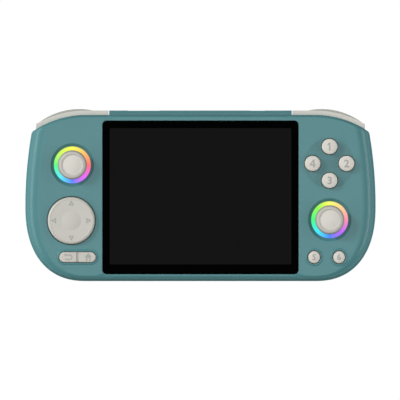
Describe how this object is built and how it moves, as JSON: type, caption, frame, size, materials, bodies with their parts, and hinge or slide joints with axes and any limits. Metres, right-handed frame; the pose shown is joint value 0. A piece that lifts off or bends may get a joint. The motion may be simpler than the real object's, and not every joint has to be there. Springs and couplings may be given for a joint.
{
  "type": "handheld game console",
  "caption": "Handheld game console lying on its back: wide screen between lit thumb sticks, round direction pad and face buttons, with shoulder bumpers, triggers and rear grips.",
  "frame": {"origin": "on the table below the middle of the case, which lies on its two rear grips", "axes": "+X to the player's right, +Y towards the shoulder buttons, +Z out of the screen"},
  "size_m": [0.184, 0.0904, 0.0292],
  "materials": {
    "teal_front": "moulded ABS, fine matt grain",
    "teal_rear": "moulded ABS, fine matt grain",
    "black_glass": "printed black on the back of clear cover glass",
    "adhesive": "black foam tape",
    "display": "display panel, switched off",
    "beige_keys": "moulded ABS, satin",
    "beige_bumpers": "moulded ABS, satin",
    "beige_triggers": "moulded ABS, satin",
    "light_guide": "milky translucent acrylic",
    "silicone": "moulded silicone rubber",
    "circuit_board": "glass-epoxy board with solder mask",
    "dark_mouldings": "moulded black nylon",
    "pivot_nylon": "nylon ball",
    "steel": "plated steel",
    "spreader": "rolled aluminium sheet",
    "battery_wrap": "shrink-wrapped pouch cell",
    "key_marks": "pad-printed grey ink on the keys"
  },
  "bodies": {
    "root": {"front_shell": "teal_front", "rear_shell": "teal_rear", "cover_glass": "black_glass", "glass_seal": "adhesive", "display_panel": "display", "left_stick_base": "dark_mouldings", "right_stick_base": "dark_mouldings", "left_light_ring": "light_guide", "left_light_board": "circuit_board", "right_light_ring": "light_guide", "right_light_board": "circuit_board", "face_membrane": "silicone", "direction_post": "dark_mouldings", "direction_membrane": "silicone", "back_home_membrane": "silicone", "select_start_membrane": "silicone", "bumper_pins": "steel", "trigger_pins": "steel", "left_trigger_spring": "steel", "right_trigger_spring": "steel", "shoulder_switches": "dark_mouldings", "top_switch_board": "circuit_board", "main_board": "circuit_board", "heat_spreader": "spreader", "battery": "battery_wrap", "left_speaker": "dark_mouldings", "right_speaker": "dark_mouldings", "usb_port": "steel", "headphone_socket": "dark_mouldings", "card_slot": "steel", "case_screws": "steel"},
    "left_gimbal": {"left_stick_ring": "dark_mouldings"},
    "left_collar": {"left_stick_collar": "dark_mouldings"},
    "left_stick": {"left_stick_cap": "beige_keys", "left_stick_shaft": "steel"},
    "right_gimbal": {"right_stick_ring": "dark_mouldings"},
    "right_collar": {"right_stick_collar": "dark_mouldings"},
    "right_stick": {"right_stick_cap": "beige_keys", "right_stick_shaft": "steel"},
    "face_button_top": {"face_button_top": "beige_keys"},
    "face_button_right": {"face_button_right": "beige_keys"},
    "face_button_bottom": {"face_button_bottom": "beige_keys"},
    "face_button_left": {"face_button_left": "beige_keys"},
    "direction_pivot": {"direction_pivot": "pivot_nylon"},
    "direction_pad": {"direction_pad": "beige_keys"},
    "back_home_rocker": {"back_home_rocker": "beige_keys"},
    "select_button": {"select_button": "beige_keys"},
    "start_button": {"start_button": "beige_keys"},
    "left_bumper": {"left_bumper": "beige_bumpers"},
    "left_trigger": {"left_trigger": "beige_triggers"},
    "right_bumper": {"right_bumper": "beige_bumpers"},
    "right_trigger": {"right_trigger": "beige_triggers"},
    "power_button": {"power_button": "teal_rear"},
    "volume_rocker": {"volume_rocker": "teal_rear"}
  },
  "joints": [
    {"name": "left_stick_updown", "type": "hinge", "parent": "root", "child": "left_gimbal", "pos_m": [-0.06725, 0.0158, 0.0176], "axis": [1, 0, 0], "range_deg": [-15, 15], "stiffness_Nm_per_rad": 0.1},
    {"name": "left_stick_sideways", "type": "hinge", "parent": "left_gimbal", "child": "left_collar", "pos_m": [-0.06725, 0.0158, 0.0176], "axis": [0, 1, 0], "range_deg": [-15, 15], "stiffness_Nm_per_rad": 0.1},
    {"name": "left_stick_click", "type": "slide", "parent": "left_collar", "child": "left_stick", "axis": [0, 0, -1], "range_m": [0, 0.0004], "stiffness_N_per_m": 2000},
    {"name": "right_stick_updown", "type": "hinge", "parent": "root", "child": "right_gimbal", "pos_m": [0.0678, -0.013, 0.0176], "axis": [1, 0, 0], "range_deg": [-15, 15], "stiffness_Nm_per_rad": 0.1},
    {"name": "right_stick_sideways", "type": "hinge", "parent": "right_gimbal", "child": "right_collar", "pos_m": [0.0678, -0.013, 0.0176], "axis": [0, 1, 0], "range_deg": [-15, 15], "stiffness_Nm_per_rad": 0.1},
    {"name": "right_stick_click", "type": "slide", "parent": "right_collar", "child": "right_stick", "axis": [0, 0, -1], "range_m": [0, 0.0004], "stiffness_N_per_m": 2000},
    {"name": "face_top_press", "type": "slide", "parent": "root", "child": "face_button_top", "axis": [0, 0, -1], "range_m": [0, 0.0012], "stiffness_N_per_m": 800, "deforming": ["face_membrane"]},
    {"name": "face_right_press", "type": "slide", "parent": "root", "child": "face_button_right", "axis": [0, 0, -1], "range_m": [0, 0.0012], "stiffness_N_per_m": 800, "deforming": ["face_membrane"]},
    {"name": "face_bottom_press", "type": "slide", "parent": "root", "child": "face_button_bottom", "axis": [0, 0, -1], "range_m": [0, 0.0012], "stiffness_N_per_m": 800, "deforming": ["face_membrane"]},
    {"name": "face_left_press", "type": "slide", "parent": "root", "child": "face_button_left", "axis": [0, 0, -1], "range_m": [0, 0.0012], "stiffness_N_per_m": 800, "deforming": ["face_membrane"]},
    {"name": "direction_sideways", "type": "hinge", "parent": "root", "child": "direction_pivot", "pos_m": [-0.0678, -0.0134, 0.02], "axis": [0, 1, 0], "range_deg": [-3, 3], "stiffness_Nm_per_rad": 0.3, "deforming": ["direction_membrane"]},
    {"name": "direction_updown", "type": "hinge", "parent": "direction_pivot", "child": "direction_pad", "pos_m": [-0.0678, -0.0134, 0.02], "axis": [1, 0, 0], "range_deg": [-3, 3], "stiffness_Nm_per_rad": 0.3},
    {"name": "back_home_rock", "type": "hinge", "parent": "root", "child": "back_home_rocker", "pos_m": [-0.0645, -0.0326, 0.0204], "axis": [0, 1, 0], "range_deg": [-3, 3], "stiffness_Nm_per_rad": 0.2, "deforming": ["back_home_membrane"]},
    {"name": "select_press", "type": "slide", "parent": "root", "child": "select_button", "axis": [0, 0, -1], "range_m": [0, 0.0008], "stiffness_N_per_m": 1000, "deforming": ["select_start_membrane"]},
    {"name": "start_press", "type": "slide", "parent": "root", "child": "start_button", "axis": [0, 0, -1], "range_m": [0, 0.0008], "stiffness_N_per_m": 1000, "deforming": ["select_start_membrane"]},
    {"name": "left_bumper_press", "type": "hinge", "parent": "root", "child": "left_bumper", "pos_m": [-0.05145, 0.0389, 0.0145], "axis": [0, 0, 1], "range_deg": [0, 1.5], "stiffness_Nm_per_rad": 2.3},
    {"name": "left_trigger_pull", "type": "hinge", "parent": "root", "child": "left_trigger", "pos_m": [-0.0638, 0.038, 0.0094], "axis": [-1, 0, 0], "range_deg": [0, 8], "stiffness_Nm_per_rad": 0.1, "deforming": ["left_trigger_spring"]},
    {"name": "right_bumper_press", "type": "hinge", "parent": "root", "child": "right_bumper", "pos_m": [0.05145, 0.0389, 0.0145], "axis": [0, 0, -1], "range_deg": [0, 1.5], "stiffness_Nm_per_rad": 2.3},
    {"name": "right_trigger_pull", "type": "hinge", "parent": "root", "child": "right_trigger", "pos_m": [0.0638, 0.038, 0.0094], "axis": [-1, 0, 0], "range_deg": [0, 8], "stiffness_Nm_per_rad": 0.1, "deforming": ["right_trigger_spring"]},
    {"name": "power_press", "type": "slide", "parent": "root", "child": "power_button", "axis": [0, -1, 0], "range_m": [0, 0.0005], "stiffness_N_per_m": 1500},
    {"name": "volume_rock", "type": "hinge", "parent": "root", "child": "volume_rocker", "pos_m": [-0.03, 0.04085, 0.0149], "axis": [0, 0, 1], "range_deg": [-1.5, 1.5], "stiffness_Nm_per_rad": 0.5}
  ]
}
